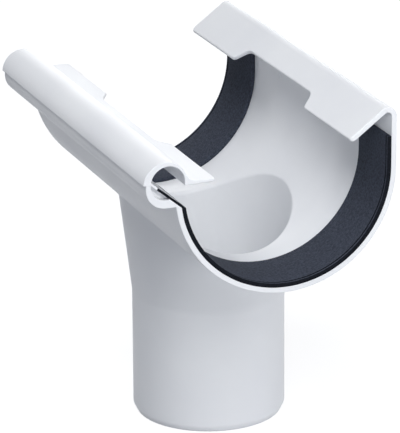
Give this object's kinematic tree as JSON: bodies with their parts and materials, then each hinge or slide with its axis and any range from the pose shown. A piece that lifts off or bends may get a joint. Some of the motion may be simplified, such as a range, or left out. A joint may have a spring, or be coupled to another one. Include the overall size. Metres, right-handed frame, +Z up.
{
  "type": "gutter outlet",
  "caption": "Half-round gutter running outlet with a front bead socket, a rear hook ledge, rubber end seals and a round spigot for the downpipe.",
  "frame": {"origin": "middle of the spigot's lower end", "axes": "+Z up the spigot, +Y along the gutter, +X from the front bead socket to the rear hook ledge"},
  "size_m": [0.1346, 0.212, 0.189],
  "materials": {
    "pvc": "satin-gloss injection-moulded PVC",
    "seal_rubber": "matt moulded rubber"
  },
  "bodies": {
    "root": {"outlet_body": "pvc", "seal_front": "seal_rubber", "seal_back": "seal_rubber"}
  },
  "joints": []
}
